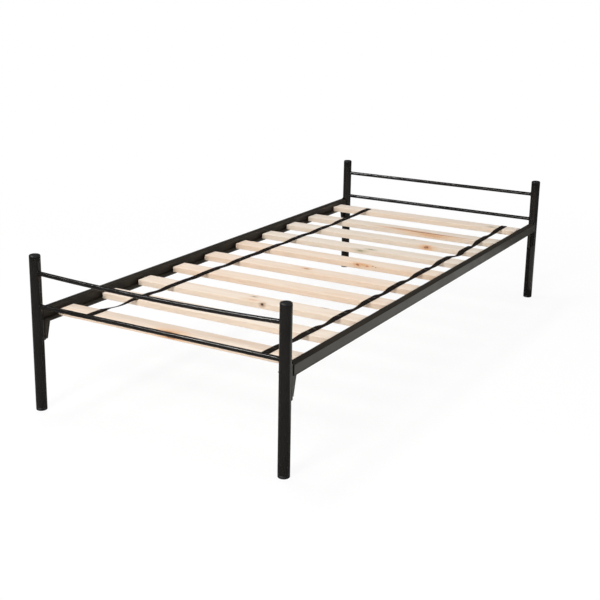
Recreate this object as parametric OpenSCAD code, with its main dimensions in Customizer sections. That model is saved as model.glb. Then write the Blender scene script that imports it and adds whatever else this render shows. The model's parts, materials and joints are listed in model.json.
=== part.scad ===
// Metal bed frame: two welded ends, two hook-on side rails and a strapped mat of wooden slats.
// Millimetres. +Z is up, +Y runs from foot to head, +X is the right side seen from the foot.
// The origin is on the floor under the middle of the bed.

/* [Frame] */
// Distance across the bed between post centres
post_span_x = 880; // [780:10:1480]
// Distance along the bed between post centres
post_span_y = 2030; // [2030:10:2130]
// Overall height, glides and caps included
frame_h = 500; // [460:5:620]

/* [Posts] */
// Outside diameter of the post tube
post_d = 35; // [32:1:42]
// Wall of the post tube
post_wall = 1.5; // [1.2:0.1:2.5]
// Height of the cap above the tube
cap_h = 6; // [5:0.5:10]
// Edge rounding of the cap
cap_round = 4.5; // [2:0.5:4.5]
// Height of the glide below the tube
glide_h = 10; // [6:1:20]
// Edge rounding of the glide
glide_round = 3; // [1:0.5:5]
// Length of a cap's or glide's plug inside the tube
plug_len = 15; // [10:1:25]

/* [End rods] */
// Diameter of the solid rods
rod_d = 14; // [10:1:18]
// Height of the upper rods
upper_rod_z = 443.5; // [400:0.5:445]
// Height of the lower rods
lower_rod_z = 338.5; // [335:0.5:360]
// How far the upper rod at the foot end sags at its middle
foot_rod_sag = 10; // [1:0.5:20]

/* [Side rails] */
// Width of the rail tube
rail_w = 25; // [25:1:30]
// Height of the rail tube
rail_h = 31; // [25:1:40]
// Wall of the rail tube
rail_wall = 1.5; // [1.2:0.1:2]
// Outside corner radius of the rail tube
rail_corner = 2; // [1:0.5:2.5]
// Height of the ledge strip's underside
rail_z = 291; // [270:1:291]
// Thickness of the ledge strip welded under the tube
ledge_t = 2; // [1.5:0.5:4]
// How far the ledge reaches in from the tube
ledge_reach = 26.5; // [22:0.5:40]
// Gap between a rail end and its post
rail_end_gap = 1; // [0.5:0.5:2]

/* [Corner hooks] */
// How far the socket stands off the post
socket_depth = 8.5; // [8.5:0.5:10]
// Height of the socket's open top
socket_top_z = 327; // [325:1:330]
// Height of the socket's underside
socket_bottom_z = 222.5; // [180:0.5:240]
// How far the socket's cheek reaches out across the post
cheek_reach = 15; // [12:0.5:16]
// Thickness of the hook plate
hook_t = 4; // [3:0.5:4]
// Reach of the hook plate along the rail, from the post centre
hook_reach = 58; // [50:1:70]
// Reach of the hook plate at its lower tip, from the post centre
hook_tip_reach = 41; // [34:1:48]

/* [Slats] */
// Length of a slat
slat_l = 840; // [740:10:1440]
// Width of a slat
slat_w = 71; // [60:1:90]
// Thickness of a slat
slat_t = 19; // [15:1:22]
// Rounding of a slat's long edges
slat_round = 1.5; // [0.5:0.5:3]
// Middle of each slat, measured from the foot posts
slat_at = [107, 316, 503, 701, 897, 1106, 1299, 1491, 1674, 1912]; // [100:1:1930]
// How far each slat lies off the centreline
slat_off = [0, 0, 0, 0, 0, 0, 0, 0, -1, -6]; // [-8:1:8]

/* [Straps] */
// Width of the webbing
strap_w = 25; // [20:1:35]
// Thickness of the webbing
strap_t = 2; // [1:0.5:3]
// Middle of the left strap on each slat, from the centreline
left_strap_at = [-298, -287, -281, -279, -276, -274, -272, -268, -270, -276]; // [-380:1:-200]
// Middle of the right strap on each slat, from the centreline
right_strap_at = [329, 341, 345, 347, 347, 349, 349, 358, 352, 346]; // [200:1:380]
// How far each strap starts behind the front edge of the first slat
strap_start = 8; // [0:1:20]
// How far the left and right straps stop short of the last slat's far edge
strap_short = [18, 1]; // [0:1:25]

/* [Staples] */
// Width of a staple's crown
staple_w = 12; // [8:1:16]
// Thickness of the staple wire
staple_wire = 1; // [0.6:0.1:1.4]
// Length of a staple's legs
staple_leg = 10; // [6:1:14]
// Distance of each staple from the slat's middle
staple_pitch = 18; // [10:1:25]

/* [Hidden] */
SIDES = [-1, 1];
ENDS = [-1, 1];
LAST = len(slat_at) - 1;
$fn = 48;

post_r = post_d / 2;
rail_outer_x = post_span_x / 2 + post_r;
rail_len = post_span_y - post_d - 2 * rail_end_gap;
ledge_top_z = rail_z + ledge_t;
rail_ceiling_z = ledge_top_z + rail_h - rail_wall;

// Gaps between a hook and its socket, and between a socket and the rail around it
slide_gap = 0.3;
notch_gap = 0.5;

// The socket stands just inside the rail tube's inner wall, off centre on its post
socket_w = 14;
socket_root = 6;
socket_floor = 2.5;
socket_back = 2;
socket_front = post_r + socket_depth;
cheek_root = 9;
cheek_gap = 0.5;
socket_shift = post_r - rail_w + rail_wall + notch_gap + socket_w / 2;

// The T-shaped slot in the socket
head_slot_w = 9;
head_slot_t = 4;
mouth_w = hook_t + 0.8;

slat_top_z = ledge_top_z + slat_t;
strap_top_z = slat_top_z + strap_t;

powder_black = [0.11, 0.11, 0.11];
plastic_black = [0.07, 0.07, 0.07];
rail_grey = [0.2, 0.2, 0.19];
pine = [0.91, 0.82, 0.71];
webbing = [0.13, 0.1, 0.08];
staple_steel = [0.3, 0.3, 0.3];

function side_word(side) = side < 0 ? "left" : "right";
function end_word(end) = end < 0 ? "foot" : "head";
function corner_name(piece, side, end) = str(piece, "_", end_word(end), "_", side_word(side));
function slat_y(i) = slat_at[i] - post_span_y / 2;
function strap_at(side) = side < 0 ? left_strap_at : right_strap_at;
function strap_end_short(side) = strap_short[side < 0 ? 0 : 1];

// Puts its children on a post's axis, with +X outwards from the bed and +Y towards the other end.
module at_post(side, end) {
  translate([side * post_span_x / 2, end * post_span_y / 2, 0])
    mirror([side < 0 ? 1 : 0, 0, 0])
      mirror([0, end > 0 ? 1 : 0, 0])
        children();
}

module on_side(side) {
  mirror([side < 0 ? 1 : 0, 0, 0])
    children();
}

module rounded_rect(w, h, r) {
  square([w - 2 * r, h], center = true);
  square([w, h - 2 * r], center = true);
  for (x = [-1, 1], y = [-1, 1])
    translate([x * (w / 2 - r), y * (h / 2 - r)])
      circle(r);
}

module post(side, end) {
  color(powder_black)
    at_post(side, end)
      translate([0, 0, glide_h])
        difference() {
          cylinder(h = frame_h - glide_h - cap_h, r = post_r);
          translate([0, 0, -1])
            cylinder(h = frame_h - glide_h - cap_h + 2, r = post_r - post_wall);
        }
}

// A round plug that stands on z = 0, with its head below and a ribbed stem above.
module tube_plug(head_h, head_round) {
  rib_t = 1.5;
  translate([0, 0, -head_h])
    rotate_extrude() {
      square([post_r - head_round, head_h]);
      translate([0, head_round])
        square([post_r, head_h - head_round]);
      intersection() {
        translate([post_r - head_round, head_round])
          circle(head_round);
        square([post_r, head_h]);
      }
    }
  cylinder(h = plug_len, r = post_r - post_wall - slide_gap);
  for (z = [plug_len / 3, plug_len * 2 / 3])
    translate([0, 0, z])
      cylinder(h = rib_t, r = post_r - post_wall);
}

module cap(side, end) {
  color(plastic_black)
    at_post(side, end)
      translate([0, 0, frame_h - cap_h])
        mirror([0, 0, 1])
          tube_plug(cap_h, cap_round);
}

module glide(side, end) {
  color(plastic_black)
    at_post(side, end)
      translate([0, 0, glide_h])
        tube_plug(glide_h, glide_round);
}

// Both posts of one end, as cutters that cope the rod ends.
module post_cutters(end) {
  for (side = SIDES)
    at_post(side, end)
      cylinder(h = frame_h, r = post_r);
}

module straight_rod(end, z) {
  color(powder_black)
    difference() {
      translate([-post_span_x / 2, end * post_span_y / 2, z])
        rotate([0, 90, 0])
          cylinder(h = post_span_x, d = rod_d);
      post_cutters(end);
    }
}

// A rod on a large arc, sagging by foot_rod_sag at its middle. Its square ends butt against the posts.
module sagged_rod(end, z) {
  half = post_span_x / 2;
  arc_r = (half * half + foot_rod_sag * foot_rod_sag) / (2 * foot_rod_sag);
  arc_half = asin(half / arc_r);
  clear_span = post_span_x - post_d;
  box_h = 4 * (rod_d + foot_rod_sag);
  color(powder_black)
    translate([0, end * post_span_y / 2, z])
      intersection() {
        translate([0, 0, arc_r - foot_rod_sag])
          rotate([90, 0, 0])
            rotate([0, 0, -90 - arc_half])
              rotate_extrude(angle = 2 * arc_half)
                translate([arc_r, 0])
                  circle(d = rod_d);
        cube([clear_span, 2 * rod_d, box_h], center = true);
      }
}

module upper_rod(end) {
  if (end < 0)
    sagged_rod(end, upper_rod_z);
  else
    straight_rod(end, upper_rod_z);
}

module lower_rod(end) {
  straight_rod(end, lower_rod_z);
}

// A channel welded to the post, with a T-shaped slot that is open at the top
// and a cheek that fills the corner between the post and the rail end.
module socket(side, end) {
  slot_y = post_r + socket_back;
  color(powder_black)
    at_post(side, end)
      difference() {
        union() {
          translate([socket_shift - socket_w / 2, post_r - socket_root, socket_bottom_z])
            cube([socket_w, socket_depth + socket_root, socket_top_z - socket_bottom_z]);
          translate([socket_shift, post_r - cheek_root, socket_bottom_z])
            cube([cheek_reach - socket_shift, cheek_root - cheek_gap, socket_top_z - socket_bottom_z]);
        }
        cylinder(h = frame_h, r = post_r);
        translate([socket_shift - head_slot_w / 2, slot_y, socket_bottom_z + socket_floor])
          cube([head_slot_w, head_slot_t, socket_top_z]);
        translate([socket_shift - mouth_w / 2, slot_y, socket_bottom_z + socket_floor])
          cube([mouth_w, socket_depth, socket_top_z]);
      }
}

// A tapered plate welded into the rail end, with a T-shaped head that drops into the socket.
module hook(side, end) {
  head_y = post_r + socket_back + slide_gap;
  head_w = head_slot_w - 2 * slide_gap;
  head_t = head_slot_t - 2 * slide_gap;
  rest_z = socket_bottom_z + socket_floor;
  lip_y = socket_front + slide_gap;
  color(rail_grey)
    at_post(side, end)
      translate([socket_shift, 0, 0]) {
        translate([-head_w / 2, head_y, rest_z])
          cube([head_w, head_t, rail_ceiling_z - rest_z]);
        translate([-hook_t / 2, 0, 0])
          rotate([90, 0, 90])
            linear_extrude(hook_t)
              polygon([
                [head_y, rest_z],
                [lip_y, rest_z],
                [lip_y, socket_bottom_z],
                [hook_tip_reach, socket_bottom_z],
                [hook_reach, rail_z],
                [hook_reach, rail_ceiling_z],
                [head_y, rail_ceiling_z]
              ]);
      }
}

// Clears the socket through the rail end, and slots the rail's floor for the hook plate.
module rail_end_cutters() {
  notch_w = socket_w + 2 * notch_gap;
  for (end = ENDS)
    at_post(1, end)
      translate([socket_shift, 0, 0]) {
        translate([-notch_w / 2, 0, rail_z - 1])
          cube([notch_w, socket_front + 3 * notch_gap, rail_h + ledge_t + 2]);
        translate([-hook_t / 2, 0, rail_z - 1])
          cube([hook_t, hook_reach, ledge_t + rail_wall + 2]);
      }
}

module rail(side) {
  color(rail_grey)
    on_side(side)
      difference() {
        translate([rail_outer_x - rail_w / 2, rail_len / 2, ledge_top_z + rail_h / 2])
          rotate([90, 0, 0])
            linear_extrude(rail_len)
              difference() {
                rounded_rect(rail_w, rail_h, rail_corner);
                square([rail_w - 2 * rail_wall, rail_h - 2 * rail_wall], center = true);
              }
        rail_end_cutters();
      }
}

module ledge(side) {
  ledge_w = rail_w + ledge_reach;
  color(rail_grey)
    on_side(side)
      difference() {
        translate([rail_outer_x - ledge_w, -rail_len / 2, rail_z])
          cube([ledge_w, rail_len, ledge_t]);
        rail_end_cutters();
      }
}

// Two staples across a strap on slat i. The legs go down through the strap into the wood.
module staple_pair(side, i) {
  for (step = [-1, 1])
    translate([strap_at(side)[i], slat_y(i) + step * staple_pitch, strap_top_z]) {
      translate([-staple_w / 2, -staple_wire / 2, 0])
        cube([staple_w, staple_wire, staple_wire]);
      for (leg = [-1, 1])
        translate([leg * (staple_w - staple_wire) / 2 - staple_wire / 2, -staple_wire / 2, -staple_leg])
          cube([staple_wire, staple_wire, staple_leg]);
    }
}

module staples(side) {
  color(staple_steel)
    for (i = [0:LAST])
      staple_pair(side, i);
}

module slat(i) {
  color(pine)
    difference() {
      translate([slat_off[i] - slat_l / 2, slat_y(i), ledge_top_z + slat_t / 2])
        rotate([90, 0, 90])
          linear_extrude(slat_l)
            rounded_rect(slat_w, slat_t, slat_round);
      for (side = SIDES)
        staple_pair(side, i);
    }
}

// One webbing strap over all the slats, following its own middle line from slat to slat.
module strap(side) {
  at = strap_at(side);
  start_y = slat_y(0) - slat_w / 2 + strap_start;
  end_y = slat_y(LAST) + slat_w / 2 - strap_end_short(side);
  line = concat(
    [[at[0], start_y]],
    [for (i = [0:LAST]) [at[i], slat_y(i)]],
    [[at[LAST], end_y]]
  );
  count = len(line);
  color(webbing)
    difference() {
      translate([0, 0, slat_top_z])
        linear_extrude(strap_t)
          polygon(concat(
            [for (p = line) [p.x - strap_w / 2, p.y]],
            [for (k = [1:count]) [line[count - k].x + strap_w / 2, line[count - k].y]]
          ));
      staples(side);
    }
}

for (end = ENDS, side = SIDES) {
  post(side, end);
  cap(side, end);
  glide(side, end);
  socket(side, end);
  hook(side, end);
}
for (end = ENDS) {
  upper_rod(end);
  lower_rod(end);
}
for (side = SIDES) {
  rail(side);
  ledge(side);
  strap(side);
  staples(side);
}
for (i = [0:LAST]) {
  slat(i);
}
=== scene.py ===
"""A single metal bed frame with a roll-out mat of pine slats, dressed over its fixed frame."""

import json
import logging
import math
from collections.abc import Iterable, Sequence
from dataclasses import dataclass, field
from enum import Enum

import bmesh
import bpy
from mathutils import Matrix, Vector, noise

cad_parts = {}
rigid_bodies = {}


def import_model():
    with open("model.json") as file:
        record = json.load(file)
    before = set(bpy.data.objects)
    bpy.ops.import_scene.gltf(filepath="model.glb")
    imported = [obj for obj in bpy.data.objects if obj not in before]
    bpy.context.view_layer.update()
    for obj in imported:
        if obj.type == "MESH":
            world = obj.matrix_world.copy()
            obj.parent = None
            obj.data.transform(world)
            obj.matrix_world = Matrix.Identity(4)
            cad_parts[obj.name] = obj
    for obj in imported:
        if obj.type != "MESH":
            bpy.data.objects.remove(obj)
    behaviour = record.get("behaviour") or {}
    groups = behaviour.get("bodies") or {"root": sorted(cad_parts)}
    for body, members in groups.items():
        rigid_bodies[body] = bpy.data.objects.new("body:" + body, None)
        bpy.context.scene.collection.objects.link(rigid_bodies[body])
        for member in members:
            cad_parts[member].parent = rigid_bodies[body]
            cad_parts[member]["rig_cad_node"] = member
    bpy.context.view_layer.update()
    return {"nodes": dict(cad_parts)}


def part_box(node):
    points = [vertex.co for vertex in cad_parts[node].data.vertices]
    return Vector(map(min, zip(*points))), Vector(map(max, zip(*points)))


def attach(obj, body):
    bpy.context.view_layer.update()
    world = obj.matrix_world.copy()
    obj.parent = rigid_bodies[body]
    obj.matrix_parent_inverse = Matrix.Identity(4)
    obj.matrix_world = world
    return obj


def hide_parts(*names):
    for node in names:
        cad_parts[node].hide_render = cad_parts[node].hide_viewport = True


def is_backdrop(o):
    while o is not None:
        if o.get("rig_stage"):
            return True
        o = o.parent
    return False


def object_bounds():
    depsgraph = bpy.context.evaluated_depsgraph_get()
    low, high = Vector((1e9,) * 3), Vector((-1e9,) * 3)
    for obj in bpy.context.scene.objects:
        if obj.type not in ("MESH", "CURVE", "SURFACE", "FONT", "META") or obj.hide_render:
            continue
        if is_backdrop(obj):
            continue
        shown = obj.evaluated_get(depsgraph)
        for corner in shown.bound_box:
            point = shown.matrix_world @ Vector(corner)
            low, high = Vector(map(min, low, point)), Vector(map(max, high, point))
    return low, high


LOG = logging.getLogger("bed")

Rgb = tuple[float, float, float]
Point = tuple[float, float, float]
Flat = tuple[float, float]
Socket = bpy.types.NodeSocket
Feed = Socket | float | Sequence[float]
Feeds = dict[str | int, Feed]

HAIR = 0.0001
"""The smallest gap or step that keeps two faces apart, in metres."""


class End(Enum):
    """The two ends of the bed."""

    FOOT = "foot"
    HEAD = "head"

    @property
    def inward(self) -> int:
        """The sign of Y that points into the bed from this end."""
        return 1 if self is End.FOOT else -1


class Side(Enum):
    """The two sides of the bed, seen from its foot."""

    LEFT = "left"
    RIGHT = "right"

    @property
    def outward(self) -> int:
        """The sign of X that points away from the bed on this side."""
        return -1 if self is Side.LEFT else 1


class Body(Enum):
    """The moving groups of the frame."""

    ENDS = "bed_ends"
    LEFT = "left_side"
    RIGHT = "right_side"
    MAT = "slat_mat"


class Slot(Enum):
    """The finishes that the frame's record names."""

    END_COAT = "end_coat"
    RAIL_COAT = "rail_coat"
    PLASTIC = "black_plastic"
    PINE = "pine"
    WEBBING = "webbing"
    WIRE = "staple_wire"


class Tone(Enum):
    """How a board's wood leans in colour: its early wood, its late wood and a darker, tanner colour for its
    upright faces.
    """

    PALE = ((0.815, 0.718, 0.620), (0.725, 0.560, 0.425), (0.745, 0.615, 0.495))
    WARM = ((0.815, 0.698, 0.590), (0.720, 0.520, 0.370), (0.750, 0.590, 0.460))
    GREY = ((0.775, 0.695, 0.605), (0.685, 0.560, 0.450), (0.725, 0.608, 0.490))


class KnotKind(Enum):
    """The sorts of knot in the slats: heart colour, halo colour."""

    RED = ((0.30, 0.120, 0.050), (0.66, 0.37, 0.20))
    DARK = ((0.040, 0.026, 0.018), (0.42, 0.26, 0.16))
    GREY = ((0.27, 0.235, 0.155), (0.47, 0.41, 0.29))
    FLAME = ((0.60, 0.33, 0.17), (0.70, 0.46, 0.28))


class Effect(Enum):
    """The shader node groups that the finishes place, by name."""

    GRAIN = "coat_grain"
    DUST = "settled_dust"
    RINGS = "pine_rings"
    KNOT = "pine_knot"
    WEAVE = "webbing_weave"
    SAWN = "sawn_ends"


class Wiring:
    """A node tree being wired, for a material, a shared group or the sky."""

    def __init__(self, tree: bpy.types.NodeTree) -> None:
        """Takes the tree to wire."""
        self.tree = tree
        self.count = 0

    def feed(self, node: bpy.types.Node, feeds: Feeds) -> bpy.types.Node:
        """Feeds a node's inputs.

        Args:
            node: The node.
            feeds: What goes to each input, by name or number: a socket or a plain value.

        Returns:
            The node.
        """
        for key, value in feeds.items():
            into = node.inputs[key]
            if isinstance(value, Socket):
                self.tree.links.new(value, into)
            else:
                into.default_value = (*value, 1.0) if into.type == "RGBA" else value
        return node

    def add(self, kind: str, feeds: Feeds | None = None, **settings: object) -> bpy.types.Node:
        """Adds a node, sets it up and feeds it.

        Args:
            kind: The node's type, without "ShaderNode" in front.
            feeds: What goes to its inputs.
            settings: The node's own properties.

        Returns:
            The new node.
        """
        node = self.tree.nodes.new(kind if kind.startswith("NodeGroup") else f"ShaderNode{kind}")
        node.location = (180 * (self.count % 9), -220 * (self.count // 9))
        self.count += 1
        for name, value in settings.items():
            setattr(node, name, value)
        return self.feed(node, feeds or {})

    def here(self) -> Socket:
        """The place being shaded, in the piece's own frame."""
        return self.add("TexCoord").outputs["Object"]

    def split(self, vector: Socket) -> Sequence[Socket]:
        """The three parts of a vector."""
        return self.add("SeparateXYZ", {0: vector}).outputs

    def calc(self, operation: str, first: Feed, second: Feed = 0.0, clamp: bool = False) -> Socket:
        """The result of a Math node, kept from 0 to 1 if clamp is set."""
        return self.add("Math", {0: first, 1: second}, operation=operation, use_clamp=clamp).outputs[0]

    def vector(self, operation: str, first: Feed, second: Feed = (0.0, 0.0, 0.0)) -> Socket:
        """The result of a Vector Math node, a number for LENGTH."""
        node = self.add("VectorMath", {0: first, 1: second}, operation=operation)
        return node.outputs["Value" if operation == "LENGTH" else "Vector"]

    def noise(self, at: Socket, scale: Feed, detail: float, rough: float = 0.5, out: int = 0) -> Socket:
        """A Noise Texture read at a place: its value, or its colour where out is 1."""
        feeds = {"Vector": at, "Scale": scale, "Detail": detail, "Roughness": rough}
        return self.add("TexNoise", feeds).outputs[out]

    def blend(self, share: Feed, low: Feed, high: Feed, how: str = "MIX") -> Socket:
        """Two colours mixed, share being how much of the second shows."""
        return self.add("Mix", {0: share, 6: low, 7: high}, data_type="RGBA", blend_type=how).outputs[2]

    def span(
        self, value: Socket, low: float, high: float, to_low: float = 0.0, to_high: float = 1.0
    ) -> Socket:
        """A value mapped smoothly, so that low becomes to_low and high becomes to_high."""
        feeds = {0: value, 1: low, 2: high, 3: to_low, 4: to_high}
        return self.add("MapRange", feeds, interpolation_type="SMOOTHSTEP").outputs[0]


class GroupWiring(Wiring):
    """The wiring of one shared group."""

    def __init__(self, effect: Effect, takes: dict[str, float | Point], *gives: str) -> None:
        """Opens the group.

        Args:
            effect: The effect that it makes.
            takes: Its inputs with their usual values.
            gives: Its outputs, all plain numbers.
        """
        super().__init__(bpy.data.node_groups.new(effect.value, "ShaderNodeTree"))
        sockets = self.tree.interface
        for label, usual in takes.items():
            kind = "NodeSocketVector" if isinstance(usual, tuple) else "NodeSocketFloat"
            sockets.new_socket(label, in_out="INPUT", socket_type=kind).default_value = usual
        for label in gives:
            sockets.new_socket(label, in_out="OUTPUT", socket_type="NodeSocketFloat")
        self.given = self.add("NodeGroupInput").outputs
        self.out = self.add("NodeGroupOutput")


def coat_grain() -> None:
    """The fine orange peel and slow patches of a baked powder coat."""
    w = GroupWiring(Effect.GRAIN, {"Peel Scale": 900.0, "Patch Scale": 9.0}, "Height", "Patch")
    here = w.here()
    peel = w.noise(here, w.given["Peel Scale"], 2.0, 0.55)
    patch = w.noise(here, w.given["Patch Scale"], 4.0, 0.6)
    w.feed(w.out, {"Height": peel, "Patch": w.span(patch, 0.3, 0.7)})


def settled_dust() -> None:
    """A thin dust that lies on what faces up."""
    w = GroupWiring(Effect.DUST, {"Amount": 0.2}, "Mask")
    up = w.span(w.split(w.add("NewGeometry").outputs["Normal"])[2], 0.55, 1.0)
    specks = w.noise(w.here(), 140.0, 5.0, 0.7)
    lying = w.calc("MULTIPLY", up, w.span(specks, 0.35, 0.75, 0.25, 1.0))
    w.feed(w.out, {"Mask": w.calc("MULTIPLY", lying, w.given["Amount"], True)})


def pine_rings() -> None:
    """Growth rings and fibre of a board sawn from a log that lies along X."""
    takes = {"Shift": (0.0, 0.03, 0.0), "Ring Gap": 0.0042, "Wander": 0.012}
    w = GroupWiring(Effect.RINGS, takes, "Late Wood", "Fibre", "Height")
    log = w.vector("ADD", w.here(), w.given["Shift"])
    bend = w.noise(w.vector("MULTIPLY", log, (1.4, 5.0, 5.0)), 1.0, 2.0, 0.45, out=1)
    lean = w.vector("SUBTRACT", bend, (0.5, 0.5, 0.5))
    wander = w.calc("MULTIPLY", w.given["Wander"], 4.0)
    pushed = w.add("VectorMath", {0: lean, "Scale": wander}, operation="SCALE").outputs[0]
    flat = w.vector("MULTIPLY", w.vector("ADD", log, pushed), (0.0, 1.0, 1.0))
    ring = w.calc("FRACT", w.calc("DIVIDE", w.vector("LENGTH", flat), w.given["Ring Gap"]))
    late = w.calc("MULTIPLY", w.span(ring, 0.25, 0.9), w.span(ring, 0.93, 1.0, 1.0, 0.0))
    fibre = w.noise(w.vector("MULTIPLY", log, (22.0, 900.0, 900.0)), 1.0, 3.0, 0.6)
    raised = w.calc("ADD", w.calc("MULTIPLY", late, 0.6), fibre)
    w.feed(w.out, {"Late Wood": late, "Fibre": fibre, "Height": raised})


def pine_knot() -> None:
    """One knot: a dark heart inside a ring of swept wood."""
    w = GroupWiring(Effect.KNOT, {"Centre": (0.0, 0.0, 0.0), "Size": (0.01, 0.01, 0.01)}, "Heart", "Halo")
    here = w.here()
    away = w.vector("SUBTRACT", here, w.given["Centre"])
    reach = w.vector("LENGTH", w.vector("DIVIDE", away, w.given["Size"]))
    ragged = w.noise(here, 260.0, 3.0)
    torn = w.calc("ADD", reach, w.span(ragged, 0.0, 1.0, -0.3, 0.3))
    w.feed(w.out, {"Heart": w.span(torn, 0.35, 0.75, 1.0, 0.0), "Halo": w.span(torn, 0.7, 1.9, 1.0, 0.0)})


def webbing_weave() -> None:
    """The ribs and cross threads of a woven strap, from its run coordinates in metres."""
    w = GroupWiring(Effect.WEAVE, {"Rib Gap": 0.0018, "Thread Gap": 0.0011}, "Height", "Shade")
    run = w.split(w.add("UVMap", uv_map="run").outputs[0])
    across = w.calc("DIVIDE", run[0], w.given["Rib Gap"])
    along = w.calc("DIVIDE", run[1], w.given["Thread Gap"])
    shifted = w.calc("ADD", along, w.calc("MULTIPLY", w.calc("FLOOR", across), 0.5))
    ridges = []
    for count, power in ((across, 0.6), (shifted, 0.5)):
        wave = w.calc("ABSOLUTE", w.calc("SINE", w.calc("MULTIPLY", count, math.pi)))
        ridges.append(w.calc("POWER", wave, power))
    woven = w.calc("MULTIPLY", *ridges)
    # Shade follows the height, so a finish that colours by it paints shade into the weave's hollows.
    w.feed(w.out, {"Height": woven, "Shade": w.span(woven, 0.0, 1.0)})


def sawn_ends() -> None:
    """Where a board shows its upright faces and its sawn ends, and the saw's marks there."""
    w = GroupWiring(Effect.SAWN, {"Mark Gap": 0.0016}, "Upright", "End", "Marks")
    facing = w.split(w.add("NewGeometry").outputs["Normal"])
    here = w.split(w.here())
    upright = w.span(w.calc("ABSOLUTE", facing[1]), 0.4, 0.85)
    end = w.span(w.calc("ABSOLUTE", facing[0]), 0.5, 0.9)
    strokes = w.calc("DIVIDE", w.calc("ADD", here[1], here[2]), w.given["Mark Gap"])
    marks = w.calc("MULTIPLY", w.calc("FRACT", strokes), end)
    w.feed(w.out, {"Upright": upright, "End": end, "Marks": marks})


class MaterialWiring(Wiring):
    """The wiring of one material, round its Principled shader."""

    def __init__(self, tree: bpy.types.NodeTree) -> None:
        """Empties the tree and sets the shader and its output."""
        super().__init__(tree)
        tree.nodes.clear()
        self.shader = self.add("BsdfPrincipled")
        self.output = self.add("OutputMaterial", {0: self.shader.outputs[0]})

    def effect(self, effect: Effect, feeds: Feeds | None = None) -> Sequence[Socket]:
        """The outputs of a shared group, placed with the inputs that differ from the usual."""
        return self.add("Group", feeds, node_tree=bpy.data.node_groups[effect.value]).outputs

    def surface(
        self, colour: Feed, rough: Feed, height: Socket, strength: float, depth: float, gloss: float
    ) -> None:
        """Feeds the shader.

        Args:
            colour: The base colour.
            rough: The roughness.
            height: The height of the bump.
            strength: The strength of the bump.
            depth: The depth of the bump in metres.
            gloss: The specular level.
        """
        bump = self.add("Bump", {"Height": height, "Strength": strength, "Distance": depth}).outputs[0]
        feeds = {"Base Color": colour, "Roughness": rough, "Normal": bump, "Specular IOR Level": gloss}
        self.feed(self.shader, feeds)


@dataclass(frozen=True)
class Finish:
    """What every finish has: a name, a slot in the record and a way to make its material."""

    name: str
    slot: Slot | None

    def material(self) -> bpy.types.Material:
        """Makes the material, or gives the one already made.

        Returns:
            The finished material.
        """
        made = bpy.data.materials.get(self.name)
        if made is None:
            made = bpy.data.materials.new(self.name)
            made.use_nodes = True
            self.wire(MaterialWiring(made.node_tree))
        return made

    def wire(self, w: MaterialWiring) -> None:
        """Feeds the shader; each finish does this its own way."""
        raise NotImplementedError

    def dress(self, piece: bpy.types.Object) -> None:
        """Gives a piece this finish.

        Args:
            piece: The piece, which may be a node of the frame.
        """
        if not piece.material_slots:
            piece.data.materials.append(self.material())
        for place in piece.material_slots:
            place.material = self.material()


@dataclass(frozen=True)
class PowderCoat(Finish):
    """Satin black powder coat on steel."""

    colour: Rgb = (0.0085, 0.0075, 0.0068)
    patch: Rgb = (0.0112, 0.0100, 0.0090)
    dust: Rgb = (0.16, 0.145, 0.13)
    roughness: float = 0.15
    gloss: float = 0.28
    peel_scale: float = 850.0
    peel_height: float = 0.000005
    dustiness: float = 0.03

    def wire(self, w: MaterialWiring) -> None:
        """Black with slow patches, orange peel and a trace of dust on top.

        Args:
            w: The material's wiring.
        """
        grain = w.effect(Effect.GRAIN, {"Peel Scale": self.peel_scale})
        dust = w.effect(Effect.DUST, {"Amount": self.dustiness})["Mask"]
        base = w.blend(dust, w.blend(grain["Patch"], self.colour, self.patch), self.dust)
        rough = w.span(grain["Patch"], 0.0, 1.0, self.roughness, self.roughness + 0.08)
        rough = w.calc("ADD", rough, w.calc("MULTIPLY", dust, 0.5))
        w.surface(base, rough, grain["Height"], 0.35, self.peel_height, self.gloss)


@dataclass(frozen=True)
class MouldedPlastic(Finish):
    """Black moulded plastic with a fine spark grain."""

    colour: Rgb = (0.0135, 0.0135, 0.0138)
    dust: Rgb = (0.15, 0.15, 0.145)
    roughness: float = 0.46
    gloss: float = 0.38
    grain_height: float = 0.00005

    def wire(self, w: MaterialWiring) -> None:
        """Near black, slightly dusty on top, with a moulded grain.

        Args:
            w: The material's wiring.
        """
        grain = w.effect(Effect.GRAIN, {"Peel Scale": 2600.0, "Patch Scale": 60.0})
        base = w.blend(w.effect(Effect.DUST, {"Amount": 0.05})["Mask"], self.colour, self.dust)
        rough = w.span(grain["Patch"], 0.0, 1.0, self.roughness, self.roughness + 0.1)
        w.surface(base, rough, grain["Height"], 0.4, self.grain_height, self.gloss)


@dataclass(frozen=True)
class Knot:
    """One knot in a slat, placed from the slat's middle, its middle line and its top."""

    kind: KnotKind
    along: float
    across: float
    down: float
    size: Point
    strength: float = 1.0


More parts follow.
